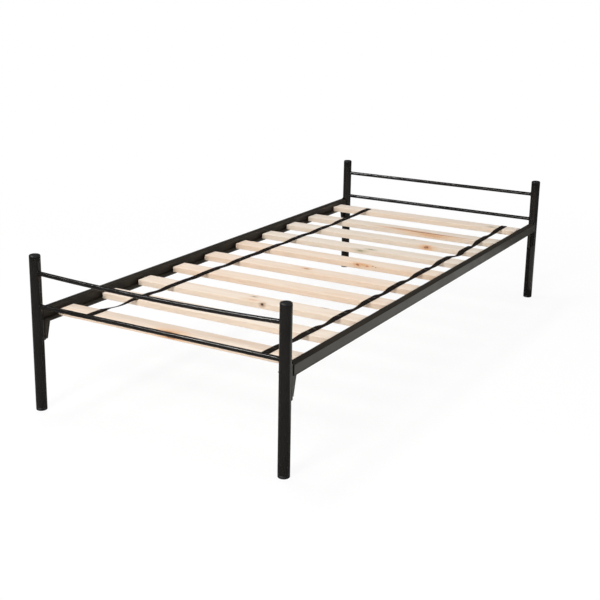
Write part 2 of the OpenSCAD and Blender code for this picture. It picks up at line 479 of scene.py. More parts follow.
@dataclass(frozen=True)
class Pine(Finish):
    """Planed, unfinished pine for one slat, with that slat's own rings and knots."""

    tone: Tone = Tone.PALE
    middle: Point = (0.0, 0.0, 0.0)
    heart: Point = (0.0, 0.03, 0.03)
    ring_gap: float = 0.0045
    strength: float = 0.35
    knots: tuple[Knot, ...] = ()
    saw_height: float = 0.00012
    gloss: float = 0.25

    def wire(self, w: MaterialWiring) -> None:
        """Rings, fibre and knots over the board's tone.

        Args:
            w: The material's wiring.
        """
        pale, dark, edge = self.tone.value
        shift = tuple(self.heart[i] - self.middle[i] for i in range(3))
        rings = w.effect(Effect.RINGS, {"Shift": shift, "Ring Gap": self.ring_gap})
        sawn = w.effect(Effect.SAWN)
        late = w.calc("MULTIPLY", rings["Late Wood"], self.strength)
        # The board's upright faces take its darker, tanner third tone.
        wood = w.blend(late, w.blend(sawn["Upright"], pale, edge), dark)
        cloud = w.noise(w.vector("MULTIPLY", w.here(), (3.0, 26.0, 26.0)), 1.0, 3.0)
        wood = w.blend(w.span(cloud, 0.42, 0.72, 0.0, 0.45), wood, dark)
        thin = w.span(rings["Fibre"], 0.25, 0.75, 0.93, 1.04)
        grey = w.add("CombineColor", {0: thin, 1: thin, 2: thin}).outputs[0]
        wood = w.blend(1.0, wood, grey, "MULTIPLY")
        for knot in self.knots:
            wood = self._with_knot(w, wood, knot)
        wood = w.blend(w.calc("MULTIPLY", sawn["End"], 0.35), wood, dark)
        rough = w.span(rings["Late Wood"], 0.0, 1.0, 0.66, 0.56)
        height = w.calc("ADD", rings["Height"], sawn["Marks"])
        w.surface(wood, rough, height, 0.35, self.saw_height, self.gloss)

    def _with_knot(self, w: MaterialWiring, wood: Socket, knot: Knot) -> Socket:
        """Lays one knot over the wood.

        Args:
            w: The material's wiring.
            wood: The wood's colour so far.
            knot: The knot.

        Returns:
            The wood's colour with the knot in it.
        """
        offset = (knot.along, knot.across, -knot.down)
        centre = tuple(self.middle[i] + offset[i] for i in range(3))
        mask = w.effect(Effect.KNOT, {"Centre": centre, "Size": knot.size})
        halo = w.calc("MULTIPLY", mask["Halo"], 0.75 * knot.strength)
        heart = w.calc("MULTIPLY", mask["Heart"], knot.strength)
        heart_colour, halo_colour = knot.kind.value
        return w.blend(heart, w.blend(halo, wood, halo_colour), heart_colour)


@dataclass(frozen=True)
class Webbing(Finish):
    """Dark woven strap."""

    colour: Rgb = (0.0190, 0.0138, 0.0104)
    # Painted shade: the darker colour laid in the weave's hollows.
    hollow_shade: Rgb = (0.0045, 0.0033, 0.0026)
    fluff: Rgb = (0.06, 0.05, 0.043)
    rib_height: float = 0.0005
    gloss: float = 0.12

    def wire(self, w: MaterialWiring) -> None:
        """Ribs and threads, with painted shade darkening the hollows between them, and a little fluff on
        top.

        Args:
            w: The material's wiring.
        """
        weave = w.effect(Effect.WEAVE)
        # Painted shade: where the weave is low, the colour turns to the darker hollow colour.
        woven = w.blend(weave["Shade"], self.hollow_shade, self.colour)
        base = w.blend(w.effect(Effect.DUST, {"Amount": 0.05})["Mask"], woven, self.fluff)
        rough = w.span(weave["Shade"], 0.0, 1.0, 0.85, 0.68)
        w.surface(base, rough, weave["Height"], 0.9, self.rib_height, self.gloss)


@dataclass(frozen=True)
class StapleWire(Finish):
    """Dull galvanised wire."""

    colour: Rgb = (0.23, 0.225, 0.215)
    stain: Rgb = (0.12, 0.105, 0.09)
    grain_height: float = 0.00003

    def wire(self, w: MaterialWiring) -> None:
        """Zinc grey with darker stains.

        Args:
            w: The material's wiring.
        """
        grain = w.effect(Effect.GRAIN, {"Peel Scale": 4200.0, "Patch Scale": 340.0})
        base = w.blend(grain["Patch"], self.colour, self.stain)
        rough = w.span(grain["Patch"], 0.0, 1.0, 0.38, 0.6)
        w.surface(base, rough, grain["Height"], 0.3, self.grain_height, 0.5)
        w.feed(w.shader, {"Metallic": 1.0})


@dataclass(frozen=True)
class FloorPaint(Finish):
    """Plain pale studio floor."""

    slot: Slot | None = None
    colour: Rgb = (0.93, 0.93, 0.93)
    mirrored: Rgb = (0.24, 0.237, 0.232)
    lift: float = 0.9

    def wire(self, w: MaterialWiring) -> None:
        """Pale and matt, running out to white, and held back in the steel's reflections.

        Args:
            w: The material's wiring.
        """
        patch = w.effect(Effect.GRAIN, {"Peel Scale": 60.0, "Patch Scale": 0.4})["Patch"]
        ray = w.add("LightPath").outputs
        paint = w.blend(patch, self.colour, tuple(0.985 * value for value in self.colour))
        base = w.blend(ray["Is Glossy Ray"], paint, self.mirrored)
        w.feed(w.shader, {"Base Color": base, "Roughness": 0.95, "Specular IOR Level": 0.0})
        share = w.span(w.vector("LENGTH", w.here()), 1.0, 3.2, self.lift, 1.0)
        seen = w.calc("MULTIPLY", share, ray["Is Camera Ray"])
        glow = w.add("Emission", {"Color": (1.0, 1.0, 1.0), "Strength": 1.0}).outputs[0]
        both = w.add("MixShader", {0: seen, 1: w.shader.outputs[0], 2: glow})
        w.feed(w.output, {0: both.outputs[0]})


def turns(count: int) -> list[float]:
    """Angles spaced evenly round a circle, in radians."""
    return [2 * math.pi * i / count for i in range(count)]


def bow(radius: float, start: float, stop: float, steps: int = 6) -> list[Flat]:
    """Points on a round corner about its own middle, from one angle in degrees to another."""
    angles = [math.radians(start + (stop - start) * i / steps) for i in range(steps + 1)]
    return [(radius * math.cos(a), radius * math.sin(a)) for a in angles]


@dataclass
class Shape:
    """A mesh being built from rings of points."""

    points: list[Vector] = field(default_factory=list)
    faces: list[tuple[int, ...]] = field(default_factory=list)
    runs: dict[int, Flat] = field(default_factory=dict)

    def ring(self, points: Iterable[Sequence[float]]) -> list[int]:
        """Adds points and gives their numbers.

        Args:
            points: The points, once round.

        Returns:
            Their numbers.
        """
        start = len(self.points)
        self.points.extend(Vector(p) for p in points)
        return list(range(start, len(self.points)))

    def skin(self, rings: Sequence[list[int]], capped: bool = True) -> None:
        """Joins rings of equal length one to the next.

        Args:
            rings: The rings, each closed on itself.
            capped: Whether the first and last ring are closed with a face.
        """
        for low, high in zip(rings, rings[1:]):
            for i in range(len(low)):
                j = (i + 1) % len(low)
                self.faces.append((low[i], low[j], high[j], high[i]))
        if capped:
            self.faces.append(tuple(reversed(rings[0])))
            self.faces.append(tuple(rings[-1]))

    def lathe(self, profile: Sequence[Flat], x: float, y: float, sides: int = 64) -> None:
        """Turns a profile about an upright line.

        Args:
            profile: Radius and height, from one end to the other.
            x: Where the line stands across the bed.
            y: Where it stands along the bed.
            sides: How many points go round.
        """
        rings = []
        for r, z in profile:
            rings.append(self.ring((x + r * math.cos(a), y + r * math.sin(a), z) for a in turns(sides)))
        self.skin(rings)

    def tube(
        self, path: Sequence[Vector], radii: Sequence[float], sides: int = 10, closed: bool = False
    ) -> None:
        """Sweeps a round section along a path.

        Args:
            path: The points that the middle of the section follows.
            radii: The section's radius at each point.
            sides: How many points go round it.
            closed: Whether the path comes back to its start.
        """
        rings = []
        count = len(path)
        normal = None
        for i, (point, radius) in enumerate(zip(path, radii)):
            before = path[i - 1] if closed or i else path[0]
            after = path[(i + 1) % count] if closed or i + 1 < count else path[-1]
            ahead = (after - before).normalized()
            if normal is None:
                normal = ahead.orthogonal().normalized()
            normal = (normal - ahead * normal.dot(ahead)).normalized()
            other = ahead.cross(normal)
            offsets = (math.cos(a) * normal + math.sin(a) * other for a in turns(sides))
            rings.append(self.ring(point + radius * offset for offset in offsets))
        if closed:
            rings.append(rings[0])
        self.skin(rings, capped=not closed)

    def piece(self, name: str, crease: float = 38.0) -> bpy.types.Object:
        """Makes the object, smooth but for its creases.

        Args:
            name: The piece's name.
            crease: The angle in degrees above which an edge stays sharp.

        Returns:
            The new object, at the origin.
        """
        mesh = bpy.data.meshes.new(name)
        mesh.from_pydata([tuple(p) for p in self.points], [], self.faces)
        work = bmesh.new()
        work.from_mesh(mesh)
        bmesh.ops.recalc_face_normals(work, faces=work.faces)
        for face in work.faces:
            face.smooth = True
        for edge in work.edges:
            edge.smooth = edge.calc_face_angle(0.0) < math.radians(crease)
        if self.runs:
            layer = work.loops.layers.uv.new("run")
            for face in work.faces:
                for loop in face.loops:
                    loop[layer].uv = self.runs.get(loop.vert.index, (0.0, 0.0))
        work.to_mesh(mesh)
        work.free()
        made = bpy.data.objects.new(name, mesh)
        bpy.context.scene.collection.objects.link(made)
        return made


@dataclass
class Shop:
    """What every maker shares: the frame's pieces and the finishes."""

    nodes: dict[str, bpy.types.Object]
    end_coat: PowderCoat
    rail_coat: PowderCoat
    plastic: MouldedPlastic
    webbing: Webbing
    wire: StapleWire

    def place(self, piece: bpy.types.Object, finish: Finish, body: Body, *nodes: str) -> None:
        """Dresses a new piece, sets it on its body and hides the frame nodes that it replaces.

        Args:
            piece: The new piece.
            finish: Its finish.
            body: The body that it moves with.
            nodes: The frame nodes that it replaces.
        """
        finish.dress(piece)
        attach(piece, body.value)
        if nodes:
            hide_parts(*nodes)
        LOG.info("%s: %d faces on %s", piece.name, len(piece.data.polygons), body.value)

    def keep(self, node: str, finish: Finish, ease: float = 0.0005) -> None:
        """Dresses a piece of the frame and takes the sharpness off its edges, not touching its mesh.

        Args:
            node: The frame's name for the piece.
            finish: Its finish.
            ease: How far the rounding reaches from each edge.
        """
        piece = self.nodes[node]
        finish.dress(piece)
        piece.modifiers.new("joined", "WELD").merge_threshold = 0.00001
        edge = piece.modifiers.new("eased", "BEVEL")
        edge.width = ease
        edge.segments = 2
        edge.limit_method = "ANGLE"
        edge.angle_limit = math.radians(40)
        LOG.info("%s: kept, eased by %.1f mm", node, ease * 1000)


@dataclass
class Corner:
    """One corner of the bed: a post with its cap, its glide and the socket for a side rail."""

    shop: Shop
    end: End
    side: Side
    rim: float = 0.0006
    bore: float = 0.0016
    plug: float = 0.006
    shoulder: float = 0.0045
    sole: float = 0.003
    socket_bead: float = 0.0011
    rod_bead: float = 0.0017

    def __post_init__(self) -> None:
        """Reads the post's line, radius and ends from the frame."""
        low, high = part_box(self.label("post"))
        self.x = (low.x + high.x) / 2
        self.y = (low.y + high.y) / 2
        self.r = (high.x - low.x) / 2
        self.inner = self.r - self.bore
        self.low = low.z
        self.high = high.z

    def label(self, part: str) -> str:
        """The frame's name for a part at this corner."""
        return f"{part}_{self.end.value}_{self.side.value}"

    def build(self) -> None:
        """Makes and dresses every part of the corner."""
        self._post()
        self._cap()
        self._glide()
        self._socket()

    def _turn(self, part: str, profile: list[Flat], moulded: bool = True) -> None:
        """Turns a part about the post's line and puts it in place of the frame's.

        Args:
            part: The part.
            profile: Its radius and height, from one end to the other.
            moulded: Whether it is plastic, and not the steel tube.
        """
        finish = self.shop.plastic if moulded else self.shop.end_coat
        suffix, sides, crease = ("moulding", 64, 50.0) if moulded else ("tube", 72, 38.0)
        shape = Shape()
        shape.lathe(profile, self.x, self.y, sides)
        node = self.label(part)
        self.shop.place(shape.piece(f"{node}_{suffix}", crease), finish, Body.ENDS, node)

    def _post(self) -> None:
        """The post's tube, with its cut edges eased."""
        rim, r, steps = self.rim, self.r, 22
        wall = [(r, self.low + rim + (self.high - self.low - 2 * rim) * i / steps) for i in range(1, steps)]
        bottom = [(r - rim + a, self.low + rim + b) for a, b in bow(rim, -90, 0, 3)]
        top = [(r - rim + a, self.high - rim + b) for a, b in bow(rim, 0, 90, 3)]
        profile = [(self.inner, self.low), *bottom, *wall, *top, (self.inner, self.high)]
        self._turn("post", profile, moulded=False)

    def _cap(self) -> None:
        """The push-in cap: a collar, a round shoulder and a slightly dished disc with a dimple."""
        r, seat, bend = self.r, self.high, self.shoulder
        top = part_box(self.label("cap"))[1].z
        collar = [(self.inner, seat - self.plug), (self.inner, seat + 0.0004), (r - 0.0003, seat + 0.0006)]
        edge = [(r - HAIR, seat + 0.0010), (r - HAIR, top - bend)]
        round_edge = [(r - HAIR - bend + a, top - bend + b) for a, b in bow(bend, 8, 90, 9)]
        dish = top - 0.0002
        disc = [(r - 0.0066, top), (r - 0.0090, top - HAIR), (r - 0.0120, dish), (0.0021, dish)]
        dimple = [(0.0016, top - 0.0005), (0.0003, top - 0.0005)]
        self._turn("cap", [*collar, *edge, *round_edge, *disc, *dimple])

    def _glide(self) -> None:
        """The floor glide: a rounded sole, a grip ring and a collar against the tube."""
        r, seat, bend = self.r, self.low, self.sole
        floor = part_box(self.label("glide"))[0].z
        arch = floor + 0.0004
        sole = [(0.0004, arch), (r - 0.0075, arch), (r - 0.007, floor), (r - bend, floor)]
        round_edge = [(r - bend + a, floor + bend + b) for a, b in bow(bend, -80, -4, 6)]
        ring = [(r - HAIR, floor + 0.0052), (r - 0.0006, floor + 0.0055), (r - 0.0006, floor + 0.0061)]
        upper = [(r - HAIR, floor + 0.0064), (r - HAIR, seat - 0.0008), (r - 0.0006, seat - 0.0003)]
        collar = [(self.inner, seat - 0.0002), (self.inner, seat + self.plug)]
        self._turn("glide", [*sole, *round_edge, *ring, *upper, *collar])

    def _socket(self) -> None:
        """The slotted socket, kept from the frame, and the two welds that hold it to the post."""
        node = self.label("socket")
        self.shop.keep(node, self.shop.end_coat)
        low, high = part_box(node)
        steps = 40
        shape = Shape()
        for edge, away in ((low.x, -1), (high.x, 1)):
            depth = math.sqrt(max(self.r * self.r - (edge - self.x) ** 2, 0.0))
            path = []
            radii = []
            for i in range(steps + 1):
                z = low.z + 0.003 + (high.z - low.z - 0.006) * i / steps
                ripple = noise.noise(Vector((edge * 300, self.y * 90, z * 420)))
                path.append(Vector((edge + away * 0.0002, self.y + self.end.inward * (depth + HAIR), z)))
                taper = min(1.0, 0.35 + 0.25 * min(i, steps - i))
                radii.append(self.socket_bead * taper * (0.86 + 0.14 * math.cos(z * 2400) + 0.08 * ripple))
            shape.tube(path, radii)
        self.shop.place(shape.piece(f"{node}_weld", 80.0), self.shop.end_coat, Body.ENDS)

    def weld_rod(self, shape: Shape, height: float, radius: float) -> None:
        """Adds a rippled bead round the joint of the post and a rod.

        Args:
            shape: The mesh to add to.
            height: The height of the rod's middle there.
            radius: The rod's radius.
        """
        at = Vector((self.x, self.y, height))
        path = []
        radii = []
        for a in turns(72):
            y = (radius + 0.0003) * math.cos(a)
            z = (radius + 0.0003) * math.sin(a)
            x = math.sqrt(self.r * self.r - y * y) + 0.0002
            path.append(at + Vector((-self.side.outward * x, y, z)))
            uneven = noise.noise(Vector((at.x * 7 + math.cos(a), at.y * 5 + math.sin(a), at.z * 9)))
            radii.append(self.rod_bead * (0.8 + 0.12 * math.cos(18 * a) + 0.3 * uneven))
        shape.tube(path, radii, closed=True)


@dataclass
class EndFrame:
    """One welded end of the bed: two corners and the two rods between them."""

    shop: Shop
    end: End
    bite: float = 0.0012

    def build(self) -> None:
        """Makes and dresses the whole end."""
        corners = [Corner(self.shop, self.end, side) for side in Side]
        for corner in corners:
            corner.build()
        for height in ("upper", "lower"):
            self._rod(height, *corners)

    def _rod(self, height: str, left: Corner, right: Corner) -> None:
        """One cross rod and its two weld beads.

        Args:
            height: "upper" or "lower".
            left: The corner at its left end.
            right: The corner at its right end.
        """
        node = f"{self.end.value}_{height}_rod"
        low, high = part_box(node)
        reach = (right.x - left.x) / 2 - left.r + self.bite
        radius = (high.y - low.y) / 2
        ends = high.z - radius
        drop = (high.z - low.z) - 2 * radius
        steps = 64
        shares = [2 * i / steps - 1 for i in range(steps + 1)]
        path = [Vector((share * reach, left.y, ends - drop * (1 - share * share))) for share in shares]
        shape = Shape()
        shape.tube(path, [radius] * len(path), 32)
        self.shop.place(shape.piece(f"{node}_bar"), self.shop.end_coat, Body.ENDS, node)
        beads = Shape()
        for corner in (left, right):
            corner.weld_rod(beads, ends, radius)
        self.shop.place(beads.piece(f"{node}_welds", 80.0), self.shop.end_coat, Body.ENDS)


@dataclass
class SideRail:
    """One side: the rail tube, the ledge under it, its two hooks and the stitch welds between."""

    shop: Shop
    side: Side
    body: Body
    stitch_length: float = 0.022
    stitch_gap: float = 0.26
    bead: float = 0.0016

    def build(self) -> None:
        """Dresses the frame's own steel and adds the welds."""
        name = self.side.value
        for node, ease in ((f"{name}_rail", 0.0005), (f"{name}_ledge", 0.0004)):
            self.shop.keep(node, self.shop.rail_coat, ease)
        for end in End:
            self.shop.keep(f"hook_{end.value}_{name}", self.shop.rail_coat)
        self._stitches()

    def _stitches(self) -> None:
        """Short weld runs in the corner of the rail and its ledge."""
        name, outward = self.side.value, self.side.outward
        low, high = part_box(f"{name}_rail")
        inner = low.x if outward > 0 else high.x
        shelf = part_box(f"{name}_ledge")[1].z
        span = high.y - low.y
        count = int(span // self.stitch_gap)
        steps = 22
        shape = Shape()
        for k in range(count):
            middle = low.y + span * (k + 0.5) / count
            path = []
            radii = []
            for i in range(steps + 1):
                y = middle + self.stitch_length * (i / steps - 0.5)
                ripple = noise.noise(Vector((outward * 3.0, y * 300, 1.0)))
                taper = min(1.0, 0.3 + 0.3 * min(i, steps - i))
                path.append(Vector((inner - outward * 0.0003, y, shelf + 0.0003)))
                radii.append(self.bead * taper * (0.85 + 0.12 * math.cos(y * 2600) + 0.1 * ripple))
            shape.tube(path, radii)
        self.shop.place(shape.piece(f"{name}_rail_stitches", 80.0), self.shop.rail_coat, self.body)


@dataclass
class Slat:
    """One planed pine slat."""

    number: int
    tone: Tone
    heart: Point
    ring_gap: float
    strength: float
    knots: tuple[Knot, ...] = ()
    edge: float = 0.0018
    end_ease: float = 0.0008
    side_bow: float = 0.0006

    def build(self, shop: Shop) -> None:
        """Makes and dresses the slat.

        Args:
            shop: The frame's pieces and the finishes.
        """
        node = f"slat_{self.number}"
        low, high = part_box(node)
        middle = (low + high) / 2
        half = (high - low) / 2
        steps = 42
        stations = [(-half.x, self.end_ease), (-half.x + self.end_ease, 0.0)]
        stations += [(-half.x + 2 * half.x * i / steps, 0.0) for i in range(1, steps)]
        stations += [(half.x - self.end_ease, 0.0), (half.x, self.end_ease)]
        shape = Shape()
        rings = []
        for x, inset in stations:
            sway = self.side_bow * math.sin(self.number * 2.1) * math.cos(x / half.x * math.pi / 2)
            section = self._section(half.y - self.side_bow - inset, half.z - inset)
            rings.append(shape.ring((middle.x + x, middle.y + sway + a, middle.z + b) for a, b in section))
        shape.skin(rings)
        top = (middle.x, middle.y, high.z)
        pine = Pine(
            f"pine_{node}", Slot.PINE, self.tone, top, self.heart, self.ring_gap, self.strength, self.knots
        )
        shop.place(shape.piece(f"{node}_board", 50.0), pine, Body.MAT, node)

    def _section(self, wide: float, tall: float) -> list[Flat]:
        """The slat's section, a rectangle with eased corners.

        Args:
            wide: Half its width.
            tall: Half its thickness.

        Returns:
            The points across and up, once round.
        """
        r = self.edge
        across = wide - r
        up = tall - r
        corners = ((across, up, 0), (-across, up, 90), (-across, -up, 180), (across, -up, 270))
        return [(a + u, b + v) for a, b, start in corners for u, v in bow(r, start, start + 90, 5)]


@dataclass(frozen=True)
class Gap:
    """How a strap hangs between two slats: its roll in degrees, its sag and its sideways drift.

    Hold shapes the roll: a small power twists the strap over nearly the whole gap.
    """

    roll: float
    sag: float
    drift: float = 0.0
    hold: float = 2.0


@dataclass(frozen=True)
class Stop:
    """Where a strap lies on one slat: its middle across the bed, and its start and end along it."""

    x: float
    start: float
    end: float


@dataclass
class Strap:
    """One webbing strap stapled along the slats, with the staples."""

    shop: Shop
    side: Side
    gaps: tuple[Gap, ...]
    slats: int = 10
    thick: float = 0.0016
    wire: float = 0.0005
    crown: float = 0.011
    staple_at: float = 0.018

    def __post_init__(self) -> None:
        """Reads from the frame how wide the strap is and where it lies on each slat."""
        self.node = f"{self.side.value}_strap"
        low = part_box(self.node)[0].z
        self.base = low + self.thick / 2 + HAIR
        self.top = low + self.thick + HAIR
        points = [v.co for v in self.shop.nodes[self.node].data.vertices]
        first = min(p.y for p in points)
        last = max(p.y for p in points)
        self.stops = []
        widths = []
        for number in range(1, self.slats + 1):
            low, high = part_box(f"slat_{number}")
            near = [p.x for p in points if low.y - 0.001 <= p.y <= high.y + 0.001]
            self.stops.append(Stop((min(near) + max(near)) / 2, max(low.y, first), min(high.y, last)))
            widths.append(max(near) - min(near))
        self.width = min(widths)

    def build(self) -> None:
        """Makes the strap and its staples."""
        self._ribbon()
        self._staples()

    def _ribbon(self) -> None:
        """The strap itself: flat on the slats, sagging and rolling a little between them."""
        line = []
        for k in range(self.slats):
            line += self._lying(k)
            if k + 1 < self.slats:
                line += self._hanging(k)
        section = self._section(self.width / 2)
        shape = Shape()
        rings = []
        run = 0.0
        for i, (point, roll) in enumerate(line):
            before = line[max(i - 1, 0)][0]
            after = line[min(i + 1, len(line) - 1)][0]
            run += (point - before).length if i else 0.0
            ahead = (after - before).normalized()
            side = ahead.cross(Vector((0, 0, 1))).normalized()
            up = side.cross(ahead)
            turned = Matrix.Rotation(math.radians(roll), 3, ahead)
            side = turned @ side
            up = turned @ up
            ring = shape.ring(point + side * a + up * b for a, b in section)
            shape.runs.update({number: (a + self.width / 2, run) for number, (a, _) in zip(ring, section)})
            rings.append(ring)
        shape.skin(rings)
        piece = shape.piece(f"{self.node}_webbing", 55.0)
        self.shop.place(piece, self.shop.webbing, Body.MAT, self.node)

    def _eased(self, k: int, share: float) -> float:
        """The strap's place across the bed part of the way over a slat.

        Args:
            k: Which slat, from 0.
            share: How far over the slat, from 0 to 1.

        Returns:
            The place across the bed.
        """
        x = self.stops[k].x
        before = self.stops[k - 1].x if k else x
        after = self.stops[k + 1].x if k + 1 < self.slats else x
        lean = (after - before) / 2 * 0.35
        return x + lean * (share - 0.5)

    def _lying(self, k: int) -> list[tuple[Vector, float]]:
        """The strap's line over one slat.

        Args:
            k: Which slat, from 0.

        Returns:
            The points with the roll in degrees at each.
        """
        stop = self.stops[k]
        length = stop.end - stop.start
        shares = [i / 6 for i in range(7)]
        return [(Vector((self._eased(k, t), stop.start + length * t, self.base)), 0.0) for t in shares]

    def _hanging(self, k: int) -> list[tuple[Vector, float]]:
        """The strap's line across one gap.

        Args:
            k: The slat before the gap, from 0.

        Returns:
            The points with the roll in degrees at each.
        """
        gap = self.gaps[k]
        begin = self._lying(k)[-1][0]
        end = self._lying(k + 1)[0][0]
        steps = 22
        line = []
        for i in range(1, steps):
            t = i / steps
            swell = math.sin(math.pi * t) ** 2
            x = begin.x + (end.x - begin.x) * (t * t * (3 - 2 * t)) + gap.drift * swell
            y = begin.y + (end.y - begin.y) * t
            roll = gap.roll * math.sin(math.pi * t) ** gap.hold
            line.append((Vector((x, y, self.base - gap.sag * swell)), roll))
        return line

    def _section(self, half: float) -> list[Flat]:
        """The strap's section: flat faces and a thinner selvedge.

        Args:
            half: Half its width.

        Returns:
            The points across and up, once round.
        """
        t = self.thick / 2
        top = [(half - 0.0004, t * 0.55), (half - 0.0016, t * 0.92), (half * 0.45, t), (0.0, t)]
        top += [(-a, b) for a, b in reversed(top[:3])]
        bottom = [(a, -b) for a, b in reversed(top)]
        return [*top, (-half, 0.0), *bottom, (half, 0.0)]

    def _staples(self) -> None:
        """Two wire staples on each slat, their crowns pressed on the strap."""
        node = f"{self.side.value}_staples"
        shape = Shape()
        for k, stop in enumerate(self.stops):
            low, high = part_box(f"slat_{k + 1}")
            for way in (-1, 1):
                y = (low.y + high.y) / 2 + way * self.staple_at
                across = self._eased(k, (y - stop.start) / (stop.end - stop.start))
                self._staple(shape, Vector((across, y, self.top)), 0.12 * math.sin(k * 3.7 + way))
        self.shop.place(shape.piece(f"{node}_wire", 60.0), self.shop.wire, Body.MAT, node)

    def _staple(self, shape: Shape, at: Vector, skew: float) -> None:
        """One staple: a crown with two bent shoulders and its legs.

        Args:
            shape: The mesh to add to.
            at: The middle of the crown, on the strap.
            skew: How far it is turned from square across the strap, in radians.
        """
        half = self.crown / 2
        bend = 0.0011
        leg = 0.0035
        outline = [(-half, -leg), (-half, -bend)]
        outline += [(-half + bend + a, -bend + b) for a, b in bow(bend, 180, 90, 4)]
        outline += [(a * half, 0.0) for a in (-0.35, 0.0, 0.35)]
        outline += [(half - bend + a, -bend + b) for a, b in bow(bend, 90, 0, 4)]
        outline += [(half, -bend), (half, -leg)]
        ahead = Vector((math.cos(skew), math.sin(skew), 0.0))
        lift = self.wire * 0.7
        path = [at + ahead * a + Vector((0, 0, b + lift)) for a, b in outline]
        shape.tube(path, [self.wire] * len(path), 8)


@dataclass
class Lamp:
    """One soft studio lamp, a rectangle turned to its aim."""

    name: str
    at: Point
    aim: Point
    size: float
    power: float
    colour: Rgb = (1.0, 1.0, 1.0)
    tall: float | None = None
    mirrored: bool = True
    lit: bool = True

    def build(self) -> None:
        """Hangs the lamp; unless mirrored it makes no highlights, and unless lit it makes nothing else."""
        data = bpy.data.lights.new(self.name, "AREA")
        data.shape = "RECTANGLE"
        data.size = self.size
        data.size_y = self.tall or self.size
        data.energy = self.power
        data.color = self.colour
        lamp = bpy.data.objects.new(self.name, data)
        lamp.visible_camera = False
        lamp.visible_glossy = self.mirrored
        lamp.visible_diffuse = self.lit
        bpy.context.scene.collection.objects.link(lamp)
        lamp.location = self.at
        lamp.rotation_euler = (Vector(self.aim) - Vector(self.at)).to_track_quat("-Z", "Y").to_euler()


@dataclass
class Studio:
    """The pale floor, the soft light and the camera."""

    lamps: tuple[Lamp, ...]
    eye: Point = (1.8188, -3.3591, 1.3391)
    yaw: float = -0.536222
    pitch: float = 0.266466
    roll: float = 0.013469
    lens: float = 65.449
    shift: Flat = (0.03, -0.0567)
    zenith: float = 0.47
    horizon: float = 0.26
    mirrored: float = 0.1

    def build(self) -> None:
        """Lays the floor, lights the room and sets the camera."""
        self._floor()
        self._sky()
        for lamp in self.lamps:
            lamp.build()
        self._camera()
        view = bpy.context.scene.view_settings
        view.view_transform = "Standard"
        view.look = "None"
        view.exposure = 0.0
        view.gamma = 1.0

    def _floor(self) -> None:
        """A wide floor under the glides."""
        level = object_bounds()[0].z - 0.0002
        shape = Shape()
        rings = []
        for reach in (0.5, 1.5, 4.0, 12.0, 90.0):
            rings.append(shape.ring((reach * math.cos(a), reach * math.sin(a), level) for a in turns(48)))
        shape.skin(rings, capped=False)
        shape.faces.append(tuple(rings[0]))
        floor = shape.piece("floor")
        floor.data.materials.append(FloorPaint("floor_paint").material())
        floor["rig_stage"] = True

    def _sky(self) -> None:
        """White behind the bed, and a softer grey-to-white dome for its light."""
        world = bpy.data.worlds.new("studio")
        bpy.context.scene.world = world
        world.use_nodes = True
        world.node_tree.nodes.clear()
        w = Wiring(world.node_tree)
        rise = w.split(w.add("TexCoord").outputs["Generated"])[2]
        ray = w.add("LightPath").outputs
        held = w.span(ray["Is Glossy Ray"], 0.0, 1.0, 1.0, self.mirrored)
        glow = w.calc("MULTIPLY", w.span(rise, -0.1, 0.9, self.horizon, self.zenith), held)
        dome, white = (
            w.add("Background", {"Color": (1.0, 1.0, 1.0), "Strength": strength}).outputs[0]
            for strength in (glow, 1.0)
        )
        both = w.add("MixShader", {0: ray["Is Camera Ray"], 1: dome, 2: white})
        w.add("OutputWorld", {0: both.outputs[0]})

    def _camera(self) -> None:
        """The camera, from its eye, yaw, downward pitch and roll."""
        data = bpy.data.cameras.new("camera")
        data.sensor_width = 36.0
        data.lens = self.lens
        data.shift_x, data.shift_y = self.shift
        data.clip_end = 200.0
        camera = bpy.data.objects.new("camera", data)
        bpy.context.scene.collection.objects.link(camera)
        flat = math.cos(self.pitch)
        ahead = Vector((math.sin(self.yaw) * flat, math.cos(self.yaw) * flat, -math.sin(self.pitch)))
        level = Vector((math.cos(self.yaw), -math.sin(self.yaw), 0.0))
        up = level.cross(ahead)
        right = math.cos(self.roll) * level + math.sin(self.roll) * up
        above = -math.sin(self.roll) * level + math.cos(self.roll) * up
        turn = Matrix((right, above, -ahead)).transposed()
        camera.matrix_world = Matrix.Translation(self.eye) @ turn.to_4x4()
        bpy.context.scene.camera = camera


